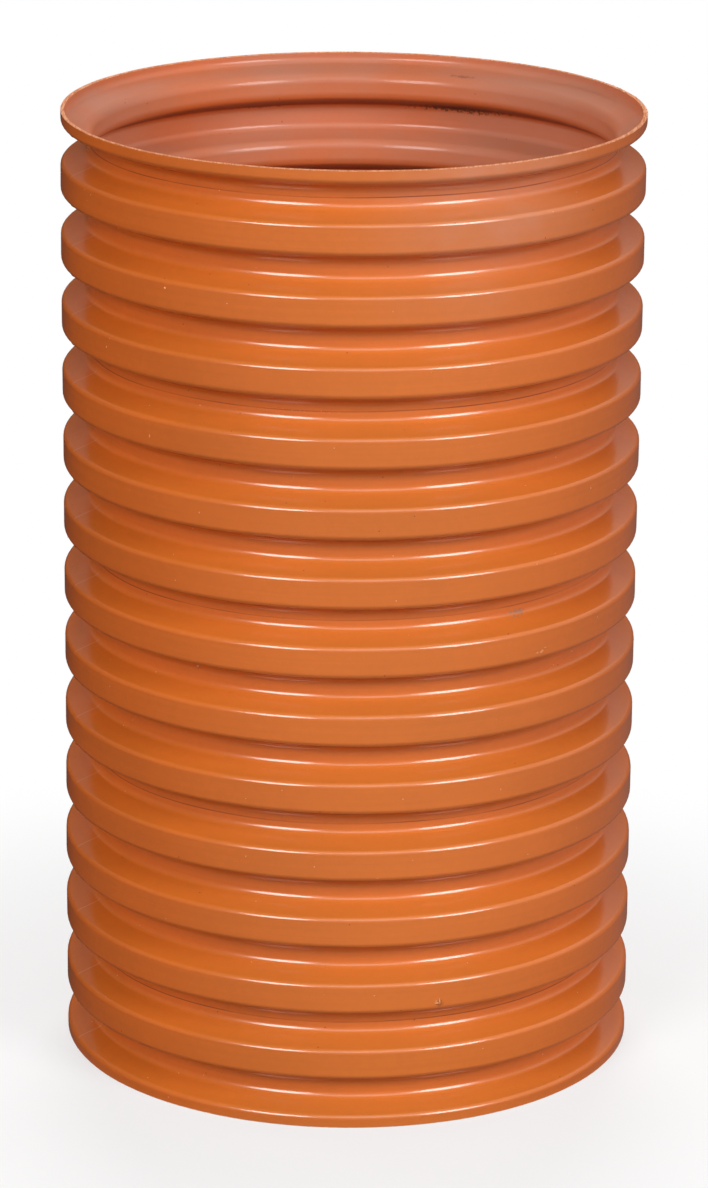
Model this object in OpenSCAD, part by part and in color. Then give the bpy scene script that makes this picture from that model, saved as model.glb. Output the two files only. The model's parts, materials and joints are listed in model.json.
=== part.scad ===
// Corrugated riser pipe: a single-wall plastic riser, cut to length in the middle of a crest
// at both ends. The pipe stands on its lower cut edge, with its axis on Z.

/* [Bore and wall] */
// Clear bore inside the troughs
bore_d = 425; // [300:1:600]
// Wall thickness, the same all along the wave
wall = 3.2; // [2:0.1:5]

/* [Wave] */
// Radial depth of the wave, from trough to crest
wave_depth = 22.3; // [12:0.1:35]
// Axial width of a crest, between its sharp corners
crest_w = 24; // [15:0.5:40]
// Axial run of one sloped flank
flank_run = 8.5; // [6:0.25:20]
// Axial width of a trough's floor, between its sharp corners
floor_w = 16; // [7:0.5:30]
// Outside radius of the rounded crest edges
crest_round = 4.5; // [4:0.5:10]
// Outside radius of the rounded trough edges
floor_round = 6.5; // [2:0.5:9]

/* [Length] */
// Whole crests between the two cut ends
full_crests = 13; // [1:1:40]
// Crest face left between a cut end and the first sharp corner
end_land = 10; // [6:0.25:12]

/* [Hidden] */
// Straight steps that draw one rounded edge
round_steps = 6;
// Share of a straight stretch that a rounded edge may take up
round_share = 0.95;
// Smallest radius on the inside of a crest edge
least_round = 0.5;
$fn = 180;

trough_r = bore_d / 2 + wall;
crest_r = trough_r + wave_depth;
pitch = crest_w + 2 * flank_run + floor_w;
pipe_len = (full_crests + 1) * pitch - crest_w + 2 * end_land;

// How far a rounded edge of radius 1 reaches along the stretches that meet there, which is
// also how far a corner moves along the axis for each millimetre of wall
flank_len = norm([wave_depth, flank_run]);
corner_reach = (flank_len - flank_run) / wave_depth;

// Rounded edges stay within the face and the half flank that they sit on
crest_face = min(crest_w / 2, end_land);
crest_edge = min(crest_round, round_share * min(crest_face, flank_len / 2) / corner_reach);
floor_edge = min(floor_round, round_share * min(floor_w, flank_len) / 2 / corner_reach);

function unit(v) = v / norm(v);

// Points of the arc that rounds corner b, between the neighbouring corners a and c
function arc_points(a, b, c, radius) =
    let (
        to_a = unit(a - b),
        to_c = unit(c - b),
        half_angle = acos(to_a * to_c) / 2,
        centre = b + unit(to_a + to_c) * radius / sin(half_angle),
        middle = unit(b - centre),
        turn = 90 - half_angle,
        side = sign(cross(a - b, c - b))
    )
    [
        for (i = [0 : round_steps])
            let (angle = side * turn * (1 - 2 * i / round_steps))
            centre + radius * [
                middle.x * cos(angle) - middle.y * sin(angle),
                middle.x * sin(angle) + middle.y * cos(angle)
            ]
    ];

// Corners of one trough on the line that lies depth inside the outer surface,
// each as [radius, height, rounding], from the crest below to the crest above
function trough_corners(index, depth) =
    let (
        low = end_land + index * pitch,
        shift = depth * corner_reach,
        crest_rounding = max(crest_edge - depth, least_round),
        floor_rounding = floor_edge + depth
    )
    [
        [crest_r - depth, low - shift, crest_rounding],
        [trough_r - depth, low + flank_run - shift, floor_rounding],
        [trough_r - depth, low + flank_run + floor_w + shift, floor_rounding],
        [crest_r - depth, low + 2 * flank_run + floor_w + shift, crest_rounding]
    ];

// The wave from the lower cut to the upper cut, depth inside the outer surface
function wave_line(depth) =
    let (
        corners = [
            [crest_r - depth, 0, 0],
            for (index = [0 : full_crests]) each trough_corners(index, depth),
            [crest_r - depth, pipe_len, 0]
        ],
        last = len(corners) - 1,
        flat = [for (corner = corners) [corner.x, corner.y]]
    )
    [
        flat[0],
        for (i = [1 : last - 1])
            each arc_points(flat[i - 1], flat[i], flat[i + 1], corners[i][2]),
        flat[last]
    ];

function reversed(list) = [for (i = [len(list) - 1 : -1 : 0]) list[i]];

// The whole pipe: one wave-shaped wall turned about the axis
module riser_pipe() {
    color([0.83, 0.45, 0.22])
        rotate_extrude()
            polygon(concat(wave_line(0), reversed(wave_line(wall))));
}

riser_pipe();
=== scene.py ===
# The corrugated riser pipe as it stands in a plain studio: one moulded wall with sawn ends,
# mould joints, a little dust and the marks of handling. All lengths are in metres.
import json
import math

import bpy
import numpy as np
from mathutils import Matrix, Vector


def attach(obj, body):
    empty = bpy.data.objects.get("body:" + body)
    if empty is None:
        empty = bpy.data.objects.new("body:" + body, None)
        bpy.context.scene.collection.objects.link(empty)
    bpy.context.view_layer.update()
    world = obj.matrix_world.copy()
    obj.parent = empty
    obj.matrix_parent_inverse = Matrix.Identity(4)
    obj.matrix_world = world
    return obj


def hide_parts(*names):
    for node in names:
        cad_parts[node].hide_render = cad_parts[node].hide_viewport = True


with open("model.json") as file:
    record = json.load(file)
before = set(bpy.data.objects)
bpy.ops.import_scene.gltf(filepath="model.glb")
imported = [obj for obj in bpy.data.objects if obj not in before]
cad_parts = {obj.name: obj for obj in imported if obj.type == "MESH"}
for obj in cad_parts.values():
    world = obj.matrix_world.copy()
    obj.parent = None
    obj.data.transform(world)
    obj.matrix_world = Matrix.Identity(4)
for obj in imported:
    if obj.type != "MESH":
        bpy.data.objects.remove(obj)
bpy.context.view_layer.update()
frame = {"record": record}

# Sizes of the pipe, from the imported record
mounts = {mount["name"]: mount for mount in frame["record"]["mounts"]}
BORE_R = mounts["bore"]["dims"]["r_mm"] / 1000
CREST_R = mounts["outside_crests"]["dims"]["r_mm"] / 1000
LENGTH = mounts["outside_crests"]["dims"]["length_mm"] / 1000

# Sizes of the wave, as in the solid
WALL = 0.0032
CREST_W = 0.024
FLANK_RUN = 0.0085
FLOOR_W = 0.016
CREST_ROUND = 0.0045
FLOOR_ROUND = 0.0065
END_LAND = 0.01
# The inside of a crest's edge is filled out to at least this radius
INNER_ROUND = 0.006

TROUGH_R = BORE_R + WALL
WAVE_DEPTH = CREST_R - TROUGH_R
PITCH = CREST_W + 2 * FLANK_RUN + FLOOR_W
TROUGHS = round((LENGTH - 2 * END_LAND + CREST_W) / PITCH)
CORNER_REACH = (math.hypot(WAVE_DEPTH, FLANK_RUN) - FLANK_RUN) / WAVE_DEPTH

# Fineness of the mesh
COLUMNS = 124
OUTER_CREST_STEPS = 6
OUTER_FLOOR_STEPS = 7
INNER_CREST_STEPS = 5
INNER_FLOOR_STEPS = 4
EDGE_STEPS = 2

# Regions of the wall's section
OUTER = 0
INNER = 1
SAWN = 2
GROOVE = 3
GROOVE_BOTTOM = 4

# Marks that the mould and the saw leave
SAWN_ROUND = 0.0005
SAWN_UNEVEN = 0.0003
JOINT_EVERY = 3
JOINT_WIDTH = 0.0018
JOINT_DEPTH = 0.0002
JOINT_WANDER = 0.0005
PARTING_AZIMUTHS = (-72, 108)
PARTING_WIDTH = 0.0024
PARTING_HEIGHT = 0.0003

# Dust on the upper right of the outside, and a painted sheen: a paler colour towards the front,
# between the main lights
VEIL_AZIMUTH = math.radians(29)
VEIL_SPREAD = math.radians(19)
VEIL_DEPTH = 0.095
VEIL_MOST = 0.8
PAINTED_SHEEN_AZIMUTH = math.radians(10)
PAINTED_SHEEN_SPREAD = math.radians(52)
PAINTED_SHEEN_MOST = 0.25

# The camera, in the photo's frame
IMAGE_HEIGHT = 1188
FOCAL_PX = 5010
SENSOR = 36
CAMERA_PLACE = (0.0035, -4.0, 1.6181)
CAMERA_TILT = math.radians(17.186)
CAMERA_ROLL = math.radians(0.497)

rng = np.random.default_rng(7)


def srgb(red, green, blue):
    """A colour read off a screen, 0 to 255, as linear light."""
    def linear(value):
        share = value / 255
        return share / 12.92 if share <= 0.04045 else ((share + 0.055) / 1.055) ** 2.4
    return linear(red), linear(green), linear(blue), 1.0


def trough_low(index):
    """Height of the sharp crest corner below a trough, counted from the bottom."""
    return END_LAND + index * PITCH


def crest_low(count):
    """Height of a crest's lower corner, counted from the upper end, where the cut crest is 0."""
    return trough_low(TROUGHS - count) - CREST_W


def around(azimuth, radius, height):
    """A point on the pipe. Azimuth 0 faces the camera, and it grows to the right."""
    return np.stack(
        np.broadcast_arrays(radius * np.sin(azimuth), -radius * np.cos(azimuth), height), axis=-1
    )


# The wall's outline


def trough_corners(index, depth, crest_steps, floor_steps):
    """Corners of one trough, depth inside the outer surface: radius, height, rounding, steps."""
    low = trough_low(index)
    shift = depth * CORNER_REACH
    crest_round = CREST_ROUND if depth == 0 else max(CREST_ROUND - depth, INNER_ROUND)
    floor_round = FLOOR_ROUND + depth
    floor_low = low + FLANK_RUN - shift
    floor_high = low + FLANK_RUN + FLOOR_W + shift
    return [
        (CREST_R - depth, low - shift, crest_round, crest_steps),
        (TROUGH_R - depth, floor_low, floor_round, floor_steps),
        (TROUGH_R - depth, floor_high, floor_round, floor_steps),
        (CREST_R - depth, low + 2 * FLANK_RUN + FLOOR_W + shift, crest_round, crest_steps),
    ]


def joint_corners(index):
    """The fine groove that two mould blocks leave along the middle of a trough's floor."""
    middle = trough_low(index) + FLANK_RUN + FLOOR_W / 2
    return [
        (TROUGH_R, middle - JOINT_WIDTH / 2, 0, 0, GROOVE),
        (TROUGH_R - JOINT_DEPTH, middle, 0, 0, GROOVE_BOTTOM),
        (TROUGH_R, middle + JOINT_WIDTH / 2, 0, 0, GROOVE),
    ]


def has_joint(index):
    """Mould blocks are three waves long, counted from the upper end."""
    return (TROUGHS - 1 - index) % JOINT_EVERY == 0


def wall_corners():
    """Corners round the wall's whole section: up the outside, over the rim and down the inside.
    Each has its radius, height, rounding, steps and region."""
    outside = []
    inside = []
    for index in range(TROUGHS):
        corners = trough_corners(index, 0, OUTER_CREST_STEPS, OUTER_FLOOR_STEPS)
        outside += [(*corner, OUTER) for corner in corners[:2]]
        if has_joint(index):
            outside += joint_corners(index)
        outside += [(*corner, OUTER) for corner in corners[2:]]
        corners = trough_corners(index, WALL, INNER_CREST_STEPS, INNER_FLOOR_STEPS)
        inside += [(*corner, INNER) for corner in corners]
    inner_r = CREST_R - WALL
    upper_rim = [
        (CREST_R, LENGTH, SAWN_ROUND, EDGE_STEPS, SAWN),
        (inner_r, LENGTH, SAWN_ROUND, EDGE_STEPS, SAWN),
    ]
    lower_rim = [
        (inner_r, 0, SAWN_ROUND, EDGE_STEPS, SAWN),
        (CREST_R, 0, SAWN_ROUND, EDGE_STEPS, SAWN),
    ]
    return outside + upper_rim + inside[::-1] + lower_rim


def section_points(corners):
    """The section with its corners rounded: radius, height, normal and region of each point."""
    rows = []
    count = len(corners)
    flat = np.array([corner[:2] for corner in corners])
    for i, (radius, height, rounding, steps, region) in enumerate(corners):
        arrive = flat[i] - flat[i - 1]
        leave = flat[(i + 1) % count] - flat[i]
        first = math.atan2(arrive[1], arrive[0])
        turn = math.atan2(leave[1], leave[0]) - first
        turn = (turn + math.pi) % (2 * math.pi) - math.pi
        if steps == 0:
            middle = first + turn / 2
            rows.append((radius, height, math.sin(middle), -math.cos(middle), region))
            continue
        reach = rounding * math.tan(abs(turn) / 2)
        start = flat[i] - arrive / np.linalg.norm(arrive) * reach
        bend = math.copysign(rounding, turn)
        for step in range(steps + 1):
            angle = first + turn * step / steps
            point_r = start[0] + bend * (math.sin(angle) - math.sin(first))
            point_z = start[1] - bend * (math.cos(angle) - math.cos(first))
            rows.append((point_r, point_z, math.sin(angle), -math.cos(angle), region))
    return np.array(rows)


SECTION = section_points(wall_corners())
OUTSIDE = SECTION[SECTION[:, 4] == OUTER]


def outer_radius(height):
    """Radius of the outer surface at a height."""
    return float(np.interp(height, OUTSIDE[:, 1], OUTSIDE[:, 0]))


# The wall's mesh


def turn_between(azimuth, other):
    """The smallest angle between two azimuths, without its sign."""
    return np.abs((azimuth - other + math.pi) % (2 * math.pi) - math.pi)


def wall_azimuths():
    """Even columns, with a finer set across the two parting lines."""
    even = np.linspace(-math.pi, math.pi, COLUMNS, endpoint=False)
    half = PARTING_WIDTH / 2 / CREST_R
    fine = []
    for azimuth in np.radians(PARTING_AZIMUTHS):
        even = even[turn_between(even, azimuth) >= 4 * half]
        fine += [azimuth - half, azimuth, azimuth + half]
    return np.sort(np.concatenate([even, fine]))


def parting_ridge(azimuth):
    """Height of the fine ridges where the two halves of the mould meet."""
    height = np.zeros_like(azimuth)
    for place in np.radians(PARTING_AZIMUTHS):
        off = turn_between(azimuth, place) * CREST_R
        height = np.maximum(height, 1 - off / (PARTING_WIDTH / 2))
    return np.clip(height, 0, 1) * PARTING_HEIGHT


# Slow unevenness of the moulded wall: waves round the pipe, waves along it and height of each
UNEVEN = ((2, 1.3, 0.00025), (5, 3.1, 0.00010), (11, 5.7, 0.00005), (19, 9.2, 0.00003))
UNEVEN_PHASES = rng.uniform(0, 2 * math.pi, len(UNEVEN))


def unevenness(azimuth, height):
    """How far the wall stands off its true shape, and the slopes of that round and along."""
    off = np.zeros(np.broadcast(azimuth, height).shape)
    slope_round = off.copy()
    slope_along = off.copy()
    for (turns, waves, size), phase in zip(UNEVEN, UNEVEN_PHASES):
        along = 2 * math.pi * waves / LENGTH
        angle = turns * azimuth + along * height + phase
        off += size * np.sin(angle)
        slope_round += size * turns * np.cos(angle)
        slope_along += size * along * np.cos(angle)
    return off, slope_round, slope_along


def saw_line(azimuth):
    """How far below its full length the saw has left the rim, from 0 to SAWN_UNEVEN."""
    wave = np.sin(2 * azimuth + 0.6) + 0.6 * np.sin(7 * azimuth) + 0.4 * np.sin(23 * azimuth + 1)
    return SAWN_UNEVEN * (0.5 + wave / 4)


def joint_wander(azimuth):
    """How far the joint between two mould blocks strays from a true ring."""
    return JOINT_WANDER * (np.sin(3 * azimuth + 0.4) + 0.5 * np.sin(8 * azimuth)) / 1.5


def bell(off, spread):
    """1 at its middle, falling off smoothly to both sides."""
    return np.exp(-((off / spread) ** 2))


def dust_veil(azimuth, height):
    """How dusty the outside is."""
    return VEIL_MOST * bell(azimuth - VEIL_AZIMUTH, VEIL_SPREAD) * bell(LENGTH - height, VEIL_DEPTH)


def new_object(name, points, faces, materials):
    """A mesh object in the scene, with its materials in order."""
    mesh = bpy.data.meshes.new(name)
    mesh.from_pydata(points, [], faces)
    made = bpy.data.objects.new(name, mesh)
    bpy.context.scene.collection.objects.link(made)
    for material in materials:
        mesh.materials.append(material)
    return made


def on_the_pipe(piece):
    """The piece belongs to the pipe's one body."""
    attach(piece, "root")
    return piece


def point_values(mesh, name, values):
    """Stores one number for each point, for the material to read."""
    mesh.attributes.new(name, "FLOAT", "POINT").data.foreach_set("value", values.ravel())


def wall_normals(azimuth, slope_round, slope_along):
    """Normals at the wall's points, which lean with its slow unevenness."""
    radius, _, normal_r, normal_z, _ = (column[:, None] for column in SECTION.T)
    out = around(azimuth, np.ones_like(azimuth), np.zeros_like(azimuth))
    turn = np.stack(np.broadcast_arrays(np.cos(azimuth), np.sin(azimuth), 0 * azimuth), axis=-1)
    up = np.array([0.0, 0.0, 1.0])
    normals = out * normal_r[..., None] + up * normal_z[..., None]
    along = up * normal_r[..., None] - out * normal_z[..., None]
    normals = normals - turn * (slope_round / radius)[..., None]
    normals = normals - along * (slope_along * normal_r)[..., None]
    return normals / np.linalg.norm(normals, axis=-1, keepdims=True)


def wall_faces(rows, columns):
    """Four-sided faces all over the closed wall."""
    index = np.arange(rows * columns).reshape(rows, columns)
    right = np.roll(index, -1, axis=1)
    above = np.roll(index, -1, axis=0)
    above_right = np.roll(right, -1, axis=0)
    return np.stack([index, right, above_right, above], axis=-1).reshape(-1, 4).tolist()


def row_materials(region):
    """The material of each row of faces, in the order of make_wall's list."""
    next_region = np.roll(region, -1, axis=0)
    inside = (region == INNER) | (next_region == INNER)
    on_edge = (region == SAWN) & (next_region == SAWN)
    return np.where(on_edge, 2, np.where(inside, 1, 0))


def make_wall(plastic, inner_plastic, sawn):
    """The pipe itself: the wall's section turned about the axis, with its small faults."""
    azimuth = wall_azimuths()[None, :]
    radius, height, normal_r, normal_z, region = (column[:, None] for column in SECTION.T)
    off, slope_round, slope_along = unevenness(azimuth, height)
    ridge = parting_ridge(azimuth) * (region != INNER)
    stand = off + ridge
    line = saw_line(azimuth)
    cut = np.where(height > LENGTH / 2, -line, line)
    place_r = radius + stand * normal_r
    place_z = height + np.where(region == SAWN, cut, stand * normal_z)
    place_z = place_z + np.where(region >= GROOVE, joint_wander(azimuth), 0)
    points = around(azimuth, place_r, place_z).reshape(-1, 3)
    faces = wall_faces(*place_r.shape)
    wall = new_object("pipe_wall", points, faces, [plastic, inner_plastic, sawn])

    mesh = wall.data
    face_material = np.broadcast_to(row_materials(region), place_r.shape).astype(np.int32)
    mesh.polygons.foreach_set("material_index", face_material.ravel())
    mesh.polygons.foreach_set("use_smooth", np.ones(len(faces), dtype=bool))
    # A painted sheen, strongest towards the front between the main lights
    painted_sheen = PAINTED_SHEEN_MOST * bell(azimuth - PAINTED_SHEEN_AZIMUTH, PAINTED_SHEEN_SPREAD)
    stored = {
        "facing_up": normal_z,
        "veil": dust_veil(azimuth, height),
        "painted_sheen": painted_sheen,
        "parting": ridge / PARTING_HEIGHT,
        "joint": region == GROOVE_BOTTOM,
    }
    for name, values in stored.items():
        point_values(mesh, name, np.broadcast_to(values, place_r.shape).astype(np.float32))
    normals = wall_normals(azimuth, slope_round, slope_along)
    mesh.normals_split_custom_set_from_vertices(normals.reshape(-1, 3).tolist())
    on_the_pipe(wall)
    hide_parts("riser_pipe")


# Materials

# Noise lies mostly between these values
NOISE_LOW = 0.3
NOISE_HIGH = 0.7


class Graph:
    """Short words for building a material's nodes."""

    def __init__(self, name):
        self.material = bpy.data.materials.new(name)
        self.material.use_nodes = True
        self.tree = self.material.node_tree
        self.shader = self.tree.nodes["Principled BSDF"]
        self.place = self.add("ShaderNodeTexCoord").outputs["Object"]

    def add(self, kind, inputs=None, **settings):
        """A node with its settings, and its inputs set or linked by name or number."""
        node = self.tree.nodes.new(kind)
        for key, value in settings.items():
            setattr(node, key, value)
        for key, value in (inputs or {}).items():
            self.put(node.inputs[key], value)
        return node

    def put(self, socket, value):
        """Sets a socket, or links it where the value is another node's output."""
        if isinstance(value, bpy.types.NodeSocket):
            self.tree.links.new(value, socket)
        else:
            socket.default_value = value

    def noise(self, scale, detail=3.0, stretch=(1, 1, 1), roughness=0.55):
        """Noise over the pipe, stretched along its axes."""
        vector = self.add("ShaderNodeMapping", {"Vector": self.place, "Scale": stretch})
        inputs = {"Vector": vector.outputs[0], "Scale": scale, "Detail": detail,
                  "Roughness": roughness}
        return self.add("ShaderNodeTexNoise", inputs).outputs[0]

    def spread(self, value, low, high, to_low=0.0, to_high=1.0, kind="SMOOTHSTEP"):
        """The value from low to high, carried over to another range and held there."""
        inputs = {0: value, 1: low, 2: high, 3: to_low, 4: to_high}
        return self.add("ShaderNodeMapRange", inputs, interpolation_type=kind).outputs[0]

    def varied(self, low, high, scale, detail=3.0, stretch=(1, 1, 1)):
        """A value that changes over the pipe between low and high."""
        return self.spread(self.noise(scale, detail, stretch), NOISE_LOW, NOISE_HIGH, low, high)

    def math(self, operation, first, second=0.0):
        """One sum of two values."""
        return self.add("ShaderNodeMath", {0: first, 1: second}, operation=operation).outputs[0]

    def mix(self, share, first, second, blend="MIX"):
        """One colour over another."""
        inputs = {0: share, 6: first, 7: second}
        return self.add("ShaderNodeMix", inputs, data_type="RGBA", blend_type=blend).outputs[2]

    def bump(self, height, strength, distance):
        """Fine relief, as a normal for the shader."""
        inputs = {"Strength": strength, "Distance": distance, "Height": height}
        return self.add("ShaderNodeBump", inputs).outputs[0]

    def stored(self, name):
        """A number that the mesh holds for each point."""
        return self.add("ShaderNodeAttribute", attribute_name=name).outputs["Fac"]

    def finish(self, **sockets):
        """Puts the results on the shader's own sockets."""
        for key, value in sockets.items():
            self.put(self.shader.inputs[key.replace("_", " ")], value)
        return self.material


# The plastic, the paler colour of its painted sheen, and what lies on it
ORANGE = srgb(206, 95, 23)
PAINTED_SHEEN = srgb(220, 146, 76)
DUST = srgb(207, 142, 116)
# Dust that lies on faces that look up, and partly a painted sheen on them near the crests' upper
# edges
LYING_DUST_AND_SHEEN = srgb(212, 158, 72)
INNER_DUST = srgb(181, 124, 102)
# Painted shade for the inside faces that look down
INNER_PAINTED_SHADE = srgb(96, 38, 18)
DARK_SPECK = srgb(96, 42, 22)
PALE_SPECK = srgb(236, 186, 156)
INNER_SPECK = srgb(92, 44, 26)
# Marks of the mould and of the saw
# A painted highlight along the parting ridges
PARTING_HIGHLIGHT = srgb(220, 156, 128)
JOINT_DARK = srgb(118, 44, 16)
SAWN_DARK = srgb(196, 112, 62)
SAWN_LIGHT = srgb(226, 158, 118)
CRUMB_DARK = srgb(204, 122, 62)
CRUMB_LIGHT = srgb(228, 164, 108)
BURR_DARK = srgb(220, 146, 104)
BURR_LIGHT = srgb(244, 206, 180)
# Fine orange peel of a moulded surface: how many bumps, and how high
PEEL_SCALE = 420.0
PEEL_HEIGHT = 0.0004

# How deep under the crests' surface the patches of the marks are centred, and how thick they are
OUTER_MARK_DEPTH = 0.010
INNER_MARK_DEPTH = 0.012
MARK_THICKNESS = 0.03
# Small marks on the surface, and one painted shadow: azimuth in degrees, height, size round the
# pipe and along it, colour and strength
OUTER_MARKS_AND_PAINTED_SHADOW = (
    (38.0, trough_low(TROUGHS - 7) + FLANK_RUN + 0.002, 0.010, 0.0030, srgb(150, 112, 88), 0.75),
    (40.0, crest_low(7) + 0.0050, 0.0050, 0.0007, srgb(230, 168, 130), 0.8),
    (41.2, crest_low(7) + 0.0078, 0.0035, 0.0006, srgb(230, 168, 130), 0.7),
    # A painted shadow beside the crumbs at about 18 degrees
    (18.5, crest_low(12) + 0.0050, 0.0034, 0.0034, srgb(142, 62, 24), 0.6),
)
INNER_MARKS = (
    (157.0, LENGTH - 0.0446, 0.0450, 0.0036, srgb(66, 44, 35), 0.85),
    (163.0, LENGTH - 0.1010, 0.0400, 0.0030, srgb(74, 56, 46), 0.85),
    (155.5, LENGTH - 0.0137, 0.0100, 0.0009, srgb(130, 76, 52), 0.6),
    (-160.0, LENGTH - 0.0445, 0.0250, 0.0018, srgb(100, 52, 34), 0.5),
)


def marked(graph, colour, marks, radius):
    """The colour with a ragged patch for each mark."""
    ragged = graph.spread(graph.noise(380.0, 3.0), 0.25, 0.75, -0.6, 0.6)
    for azimuth, height, wide, tall, mark_colour, strength in marks:
        turn = math.radians(azimuth)
        inputs = {"Vector": graph.place, "Location": tuple(around(turn, radius, height)),
                  "Rotation": (0, 0, turn), "Scale": (wide, MARK_THICKNESS, tall)}
        local = graph.add("ShaderNodeMapping", inputs, vector_type="TEXTURE").outputs[0]
        reach = graph.add("ShaderNodeVectorMath", {0: local}, operation="LENGTH").outputs["Value"]
        patch = graph.spread(graph.math("ADD", reach, ragged), 0.3, 1.1, strength, 0.0)
        colour = graph.mix(patch, colour, mark_colour)
    return colour


def plastic_shade(graph):
    """The plastic's colour with slow changes, flow lines round the pipe and a fine mottle."""
    tone = graph.varied(0.94, 1.06, 5.0)
    flow = graph.varied(0.97, 1.03, 1.0, 4.0, (4, 4, 260))
    mottle = graph.varied(0.98, 1.02, 160.0, 2.0)
    shade = graph.math("MULTIPLY", graph.math("MULTIPLY", tone, flow), mottle)
    grey = graph.add("ShaderNodeCombineColor", {0: shade, 1: shade, 2: shade}).outputs[0]
    return graph.mix(1.0, ORANGE, grey, "MULTIPLY")


def specked(graph, colour, scale, size, speck_colour, strength, move):
    """The colour with scattered specks: scale sets how many, size how large."""
    inputs = {"Vector": graph.place, "Location": (move, move, move)}
    vector = graph.add("ShaderNodeMapping", inputs).outputs[0]
    cells = graph.add("ShaderNodeTexVoronoi", {"Vector": vector, "Scale": scale})
    patch = graph.spread(cells.outputs["Distance"], size * scale * 0.6, size * scale, strength, 0.0)
    return graph.mix(patch, colour, speck_colour)


def plastic_material():
    """Orange-brown polypropylene, moulded glossy, with flow lines, dust and specks; a painted
    sheen, painted highlights on the parting lines and a painted shadow by one crumb.
    """
    graph = Graph("pipe_plastic")
    facing_up = graph.stored("facing_up")
    # Paler towards the front, between the main lights: a painted sheen
    colour = graph.mix(graph.stored("painted_sheen"), plastic_shade(graph), PAINTED_SHEEN)
    veil = graph.math("MULTIPLY", graph.stored("veil"), graph.varied(0.4, 0.85, 22.0, 4.0))
    colour = graph.mix(veil, colour, DUST)
    # Paler on faces that look up: dust lying on them, and partly a painted sheen
    upward_share = graph.spread(facing_up, 0.1, 0.9, 0.0, 0.09)
    colour = graph.mix(upward_share, colour, LYING_DUST_AND_SHEEN)
    # A pale line along the parting ridges, strongest on upward flanks: a painted highlight
    parting = graph.spread(graph.stored("parting"), 0.1, 0.9, 0.0, 0.45)
    on_flanks = graph.spread(facing_up, 0.3, 0.9, 0.12, 1.0)
    colour = graph.mix(graph.math("MULTIPLY", parting, on_flanks), colour, PARTING_HIGHLIGHT)
    joint = graph.spread(graph.stored("joint"), 0.25, 0.9, 0.0, 0.85)
    broken = graph.spread(graph.noise(9.0), 0.35, 0.65, 0.3, 1.0)
    colour = graph.mix(graph.math("MULTIPLY", joint, broken), colour, JOINT_DARK)
    colour = specked(graph, colour, 52.0, 0.0007, DARK_SPECK, 0.8, 3.7)
    colour = specked(graph, colour, 46.0, 0.0006, PALE_SPECK, 0.75, 8.1)
    colour = marked(graph, colour, OUTER_MARKS_AND_PAINTED_SHADOW, CREST_R - OUTER_MARK_DEPTH)

    dusty_rough = graph.math("MULTIPLY", veil, 0.3)
    rough = graph.math("ADD", graph.varied(0.42, 0.52, 14.0), dusty_rough)
    peel = graph.bump(graph.noise(PEEL_SCALE, 2.0), 0.04, PEEL_HEIGHT)
    return graph.finish(
        Base_Color=colour, Roughness=rough, Normal=peel, Specular_IOR_Level=0.1,
        Coat_Weight=1.0, Coat_Roughness=0.19, Coat_IOR=1.65, Coat_Normal=peel,
    )


def inner_material():
    """The inside of the pipe: the same plastic, dusty where dust can lie, darker with painted shade
    on the faces that look down, and with some dirt.
    """
    graph = Graph("pipe_inside")
    facing_up = graph.stored("facing_up")
    upward_share = graph.spread(facing_up, -0.9, 0.3, 0.1, 0.8)
    dusty = graph.math("MULTIPLY", upward_share, graph.varied(0.6, 1.0, 9.0))
    colour = graph.mix(dusty, plastic_shade(graph), INNER_DUST)
    # Painted shade: darker on the faces that look down, under the inner ridges
    under = graph.spread(facing_up, -0.95, -0.5, 0.65, 0.0)
    colour = graph.mix(under, colour, INNER_PAINTED_SHADE)
    colour = specked(graph, colour, 52.0, 0.0007, INNER_SPECK, 0.8, 1.9)
    colour = marked(graph, colour, INNER_MARKS, CREST_R - INNER_MARK_DEPTH)

    rough = graph.varied(0.5, 0.6, 14.0)
    peel = graph.bump(graph.noise(PEEL_SCALE, 2.0), 0.08, PEEL_HEIGHT)
    return graph.finish(
        Base_Color=colour, Roughness=rough, Normal=peel, Specular_IOR_Level=0.15,
        Coat_Weight=0.4, Coat_Roughness=0.19, Coat_IOR=1.55, Coat_Normal=peel,
    )


def sawn_material():
    """The sawn edge: paler and rough, with the lines of the saw across it."""
    graph = Graph("sawn_edge")
    lines = graph.noise(1.0, 3.0, (700, 60, 700))
    colour = graph.mix(graph.spread(lines, 0.35, 0.65), SAWN_DARK, SAWN_LIGHT)
    return graph.finish(Base_Color=colour, Roughness=0.6, Normal=graph.bump(lines, 0.5, 0.0003))


def swarf_material(name, dark, light):
    """Crumbs and burrs of cut plastic: pale and rough."""
    graph = Graph(name)
    colour = graph.mix(graph.varied(0.0, 1.0, 900.0, 2.0), dark, light)
    return graph.finish(Base_Color=colour, Roughness=0.6)


# Crumbs and burrs

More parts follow.
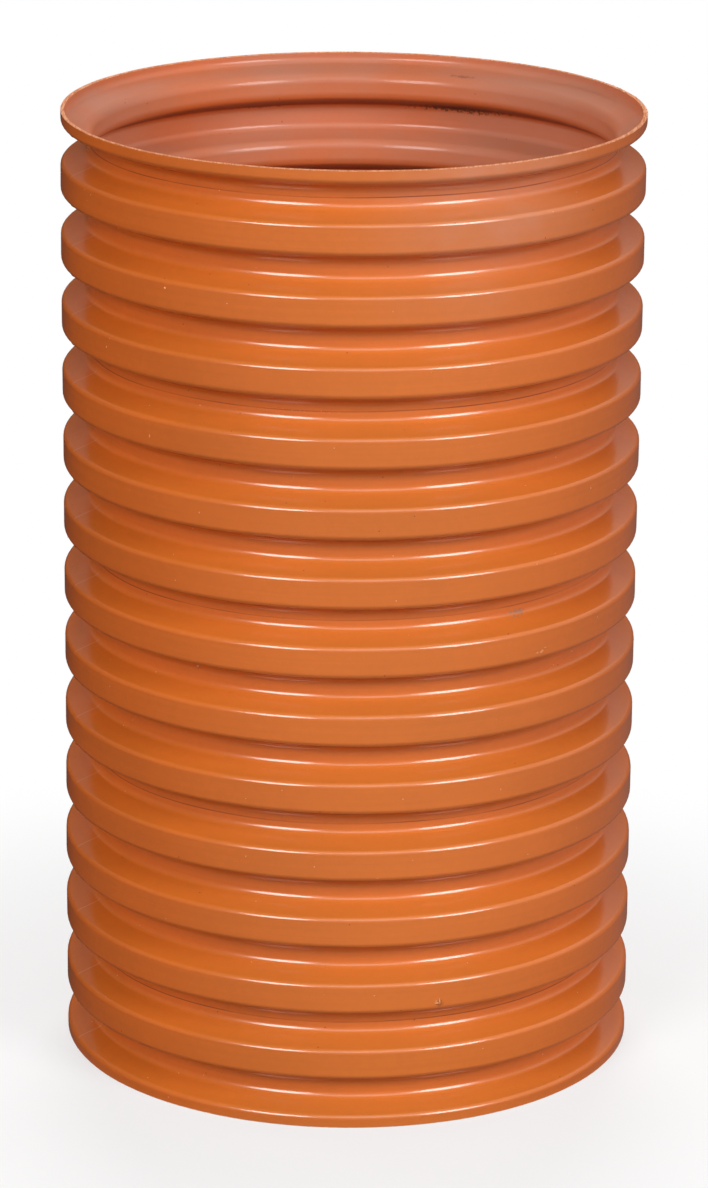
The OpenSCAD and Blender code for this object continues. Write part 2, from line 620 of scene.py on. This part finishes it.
# Single crumbs: azimuth in degrees, height, and half sizes round, out and along
SINGLE_CRUMBS = (
    (18.5, crest_low(12) + 0.0065, 0.0010, 0.0010, 0.0038),
    (18.0, crest_low(12) + 0.0052, 0.0022, 0.0008, 0.0010),
    (17.8, crest_low(12) + 0.0072, 0.0008, 0.0008, 0.0014),
    (-38.0, crest_low(2) + 0.0180, 0.0011, 0.0009, 0.0012),
    (-34.0, trough_low(TROUGHS - 8) + FLANK_RUN + FLOOR_W - 0.001, 0.0013, 0.0008, 0.0016),
    (40.5, crest_low(7) + 0.0060, 0.0014, 0.0005, 0.0008),
    (-42.0, crest_low(4) + 0.0090, 0.0007, 0.0005, 0.0018),
    (-55.0, crest_low(3) + 0.0140, 0.0008, 0.0005, 0.0013),
    (-30.0, crest_low(5) + 0.0120, 0.0006, 0.0005, 0.0011),
    (-20.0, crest_low(10) + 0.0150, 0.0006, 0.0005, 0.0009),
    (54.0, crest_low(5) + 0.0160, 0.0008, 0.0005, 0.0010),
    (31.0, crest_low(9) + 0.0100, 0.0006, 0.0005, 0.0009),
)
# Crumbs that lie along one mould joint, and crumbs scattered all round
JOINT_CRUMBS = 12
JOINT_CRUMB_AZIMUTHS = np.radians((-15, -2))
JOINT_CRUMB_SIZES = (0.0002, 0.0005)
JOINT_CRUMB_STRAY = 0.0008
SCATTERED_CRUMBS = 90
SCATTERED_SIZES = (0.0002, 0.0006)
SCATTERED_MARGIN = 0.01
# Burrs that the saw has left on the upper rim
RIM_BURRS = 46
BURR_AZIMUTHS = np.radians((78, 116))
BURR_SIZES = (0.0004, 0.0012)
BURR_INSET = 0.0004
BURR_DROP = 0.0007

GOLDEN = (1 + math.sqrt(5)) / 2
CRUMB_POINTS = np.array([
    (-1, GOLDEN, 0), (1, GOLDEN, 0), (-1, -GOLDEN, 0), (1, -GOLDEN, 0),
    (0, -1, GOLDEN), (0, 1, GOLDEN), (0, -1, -GOLDEN), (0, 1, -GOLDEN),
    (GOLDEN, 0, -1), (GOLDEN, 0, 1), (-GOLDEN, 0, -1), (-GOLDEN, 0, 1),
]) / math.hypot(1, GOLDEN)
CRUMB_FACES = np.array([
    (0, 11, 5), (0, 5, 1), (0, 1, 7), (0, 7, 10), (0, 10, 11), (1, 5, 9), (5, 11, 4),
    (11, 10, 2), (10, 7, 6), (7, 1, 8), (3, 9, 4), (3, 4, 2), (3, 2, 6), (3, 6, 8),
    (3, 8, 9), (4, 9, 5), (2, 4, 11), (6, 2, 10), (8, 6, 7), (9, 8, 1),
])


def crumb(azimuth, radius, height, half_sizes):
    """Points of one irregular crumb that sits on the wall."""
    ragged = CRUMB_POINTS * rng.uniform(0.6, 1.2, (len(CRUMB_POINTS), 1)) * half_sizes
    turn = np.array([math.cos(azimuth), math.sin(azimuth), 0])
    out = np.array([math.sin(azimuth), -math.cos(azimuth), 0])
    middle = around(azimuth, radius, height)
    return middle + ragged[:, :1] * turn + ragged[:, 1:2] * out + ragged[:, 2:] * (0, 0, 1)


def crumbs_object(name, crumbs, material):
    """Many crumbs as one piece."""
    points = np.concatenate(crumbs)
    faces = np.concatenate([CRUMB_FACES + i * len(CRUMB_POINTS) for i in range(len(crumbs))])
    return on_the_pipe(new_object(name, points.tolist(), faces.tolist(), [material]))


def make_crumbs():
    """Crumbs of plastic on the outside."""
    crumbs = [
        crumb(math.radians(azimuth), outer_radius(height), height, sizes)
        for azimuth, height, *sizes in SINGLE_CRUMBS
    ]
    joint = trough_low(TROUGHS - 4) + FLANK_RUN + FLOOR_W / 2
    for azimuth in rng.uniform(*JOINT_CRUMB_AZIMUTHS, JOINT_CRUMBS):
        size = rng.uniform(*JOINT_CRUMB_SIZES)
        height = joint + rng.normal(0, JOINT_CRUMB_STRAY)
        crumbs.append(crumb(azimuth, TROUGH_R, height, (size, size, size)))
    for _ in range(SCATTERED_CRUMBS):
        height = rng.uniform(SCATTERED_MARGIN, LENGTH - SCATTERED_MARGIN)
        size = rng.uniform(*SCATTERED_SIZES)
        sizes = (size, 0.7 * size, size * rng.uniform(0.8, 1.8))
        crumbs.append(crumb(rng.uniform(-math.pi, math.pi), outer_radius(height), height, sizes))
    material = swarf_material("plastic_crumbs", CRUMB_DARK, CRUMB_LIGHT)
    crumbs_object("plastic_crumbs", crumbs, material)


def make_burrs():
    """The burrs that the saw has left on the upper rim."""
    burrs = []
    for azimuth in rng.uniform(*BURR_AZIMUTHS, RIM_BURRS):
        size = rng.uniform(*BURR_SIZES)
        sizes = (size * rng.uniform(1, 2.5), size, size)
        burrs.append(crumb(azimuth, CREST_R - BURR_INSET, LENGTH - BURR_DROP, sizes))
    crumbs_object("rim_burrs", burrs, swarf_material("rim_burrs", BURR_DARK, BURR_LIGHT))


# The studio


def make_camera():
    """The photo's view: from standing height, tilted down to the pipe."""
    data = bpy.data.cameras.new("camera")
    data.sensor_width = SENSOR
    data.lens = FOCAL_PX / IMAGE_HEIGHT * SENSOR
    camera = bpy.data.objects.new("camera", data)
    bpy.context.scene.collection.objects.link(camera)
    forward = Vector((0, math.cos(CAMERA_TILT), -math.sin(CAMERA_TILT)))
    level_right = Vector((1, 0, 0))
    level_up = level_right.cross(forward)
    right = level_right * math.cos(CAMERA_ROLL) + level_up * math.sin(CAMERA_ROLL)
    up = level_up * math.cos(CAMERA_ROLL) - level_right * math.sin(CAMERA_ROLL)
    turn = Matrix((right, up, -forward)).transposed()
    camera.matrix_world = Matrix.Translation(CAMERA_PLACE) @ turn.to_4x4()
    bpy.context.scene.camera = camera


LIGHT_AIM = Vector((0, 0, 0.4))
LIGHT_DISTANCE = 12.0
# Softboxes: azimuth, elevation, width, height, power, and whether the gloss shows them
SOFTBOXES = (
    (-29, 25, 5.4, 5.4, 890, True),
    (45, 25, 5.4, 5.4, 880, True),
    (8, 42, 7.0, 7.0, 200, True),
    (-125, 30, 2.2, 5.4, 90, False),
    (130, 35, 5.4, 5.4, 110, False),
    (-95, 15, 6.0, 6.0, 225, False),
    (100, 15, 6.0, 6.0, 220, False),
    (180, 30, 7.0, 7.0, 1050, False),
)


def make_lights():
    """Two main softboxes in front, and weaker ones between them, behind and to the sides."""
    for number, (azimuth, elevation, width, height, power, shown) in enumerate(SOFTBOXES):
        data = bpy.data.lights.new(f"softbox_{number}", "AREA")
        data.shape = "ELLIPSE"
        data.size = width
        data.size_y = height
        data.energy = power
        light = bpy.data.objects.new(f"softbox_{number}", data)
        bpy.context.scene.collection.objects.link(light)
        side, lift = math.radians(azimuth), math.radians(elevation)
        away = Vector((
            math.sin(side) * math.cos(lift), -math.cos(side) * math.cos(lift), math.sin(lift)
        ))
        light.location = LIGHT_AIM + away * LIGHT_DISTANCE
        light.rotation_euler = away.to_track_quat("Z", "Y").to_euler()
        light.visible_glossy = shown


WORLD_FILL = 0.045
FLOOR_SIZE = 36
# Grey of the floor for the light that it throws back, and for the rays that look at it
FLOOR_BOUNCE = 0.06
FLOOR_SEEN = 0.8
SHADOW_NEAR = 0.3
SHADOW_FAR = 0.7
SHADOW_SHARE = 0.4


def seen_directly(tree):
    """1 for the rays that look at a thing or at its mirror image, and 0 for the light it gives."""
    path = tree.nodes.new("ShaderNodeLightPath")
    total = path.outputs["Is Camera Ray"]
    for name in ("Is Glossy Ray", "Is Transmission Ray"):
        higher = tree.nodes.new("ShaderNodeMath")
        higher.operation = "MAXIMUM"
        tree.links.new(total, higher.inputs[0])
        tree.links.new(path.outputs[name], higher.inputs[1])
        total = higher.outputs[0]
    return total


def make_world():
    """A white surround that gives the pipe only a soft fill."""
    world = bpy.data.worlds.new("studio")
    world.use_nodes = True
    tree = world.node_tree
    strength = tree.nodes.new("ShaderNodeMapRange")
    tree.links.new(seen_directly(tree), strength.inputs[0])
    strength.inputs[3].default_value = WORLD_FILL
    strength.inputs[4].default_value = 1.0
    tree.nodes["Background"].inputs[0].default_value = (1, 1, 1, 1)
    tree.links.new(strength.outputs[0], tree.nodes["Background"].inputs[1])
    bpy.context.scene.world = world


def floor_material():
    """A pale floor that fades to plain white away from the pipe and keeps its shadow."""
    graph = Graph("floor")
    graph.tree.nodes.remove(graph.shader)
    seen = seen_directly(graph.tree)
    tone = graph.spread(seen, 0.0, 1.0, FLOOR_BOUNCE, FLOOR_SEEN, "LINEAR")
    diffuse = graph.add("ShaderNodeBsdfDiffuse", {0: tone}).outputs[0]
    white = graph.add("ShaderNodeEmission").outputs[0]
    length = graph.add("ShaderNodeVectorMath", {0: graph.place}, operation="LENGTH")
    distance = length.outputs["Value"]
    fade = graph.spread(distance, SHADOW_NEAR, SHADOW_FAR, 1 - SHADOW_SHARE, 1.0)
    share = graph.math("MULTIPLY", fade, seen)
    mixed = graph.add("ShaderNodeMixShader", {0: share, 1: diffuse, 2: white})
    graph.put(graph.tree.nodes["Material Output"].inputs[0], mixed.outputs[0])
    return graph.material


def make_floor():
    """The floor that the pipe stands on."""
    half = FLOOR_SIZE / 2
    corners = [(-half, -half, 0), (half, -half, 0), (half, half, 0), (-half, half, 0)]
    new_object("floor", corners, [(0, 1, 2, 3)], [floor_material()])


# The studio screen: its outline out along the floor, up and over, as distance and height
SCREEN_LINE = ((0.2365, 0.001), (15.0, 0.001), (16.0, 15.0), (2.0, 19.0))
SCREEN_STEPS = 48
# The screen is brightest at this azimuth and darkest opposite
SCREEN_BRIGHT_AZIMUTH = math.radians(32)
SCREEN_DARKEST = 0.03
SCREEN_BRIGHTEST = 0.28
# Close to the pipe the screen's glow is dimmed, a painted shade, up to these distances from the
# axis
SCREEN_SHADE_NEAR = 0.25
SCREEN_SHADE_FAR = 0.7
SCREEN_SHADE = 0.6
# Between these heights it turns to a pale glow, which is strongest at this azimuth
SCREEN_GLOW_HEIGHTS = (1.0, 9.0)
SCREEN_GLOW_AZIMUTH = math.radians(94)
SCREEN_GLOW_LEAST = 0.01
SCREEN_GLOW_MOST = 0.5


def screen_material():
    """A glowing cloth with painted light: bright on one side and falling off to the other, a
    painted shade close to the pipe, and a glow higher up.
    """
    graph = Graph("screen")
    graph.tree.nodes.remove(graph.shader)

    def vector_math(operation, first, second=(0, 0, 0)):
        return graph.add("ShaderNodeVectorMath", {0: first, 1: second}, operation=operation)

    level = vector_math("MULTIPLY", graph.place, (1, 1, 0)).outputs[0]
    outward = vector_math("NORMALIZE", level).outputs[0]
    distance = vector_math("LENGTH", level).outputs["Value"]
    height = graph.add("ShaderNodeSeparateXYZ", {0: graph.place}).outputs["Z"]

    def by_azimuth(azimuth, least, most):
        facing = vector_math("DOT_PRODUCT", outward, tuple(around(azimuth, 1.0, 0.0)))
        return graph.spread(facing.outputs["Value"], -1, 1, least, most, "LINEAR")

    painted_light = by_azimuth(SCREEN_BRIGHT_AZIMUTH, SCREEN_DARKEST, SCREEN_BRIGHTEST)
    shade = graph.spread(distance, SCREEN_SHADE_NEAR, SCREEN_SHADE_FAR, SCREEN_SHADE, 1.0)
    rising = graph.spread(height, *SCREEN_GLOW_HEIGHTS)
    glow = by_azimuth(SCREEN_GLOW_AZIMUTH, SCREEN_GLOW_LEAST, SCREEN_GLOW_MOST)
    glow = graph.math("MULTIPLY", rising, glow)
    strength = graph.math("ADD", graph.math("MULTIPLY", painted_light, shade), glow)
    cloth = graph.add("ShaderNodeEmission", {"Strength": strength})
    graph.put(graph.tree.nodes["Material Output"].inputs[0], cloth.outputs[0])
    return graph.material


def make_screen():
    """A round screen about the pipe, which shows only as reflections in its gloss."""
    azimuth = np.linspace(-math.pi, math.pi, SCREEN_STEPS + 1)
    points = [tuple(around(a, r, z)) for a in azimuth for r, z in SCREEN_LINE]
    wide = len(SCREEN_LINE)
    faces = [
        (i * wide + k, (i + 1) * wide + k, (i + 1) * wide + k + 1, i * wide + k + 1)
        for i in range(SCREEN_STEPS)
        for k in range(wide - 1)
    ]
    screen = new_object("screen", points, faces, [screen_material()])
    screen.visible_camera = False
    screen.visible_diffuse = False
    screen.visible_transmission = False
    screen.visible_shadow = False


make_camera()
make_lights()
make_world()
make_floor()
make_screen()
bpy.context.scene.view_settings.view_transform = "Standard"

make_wall(plastic_material(), inner_material(), sawn_material())
make_crumbs()
make_burrs()
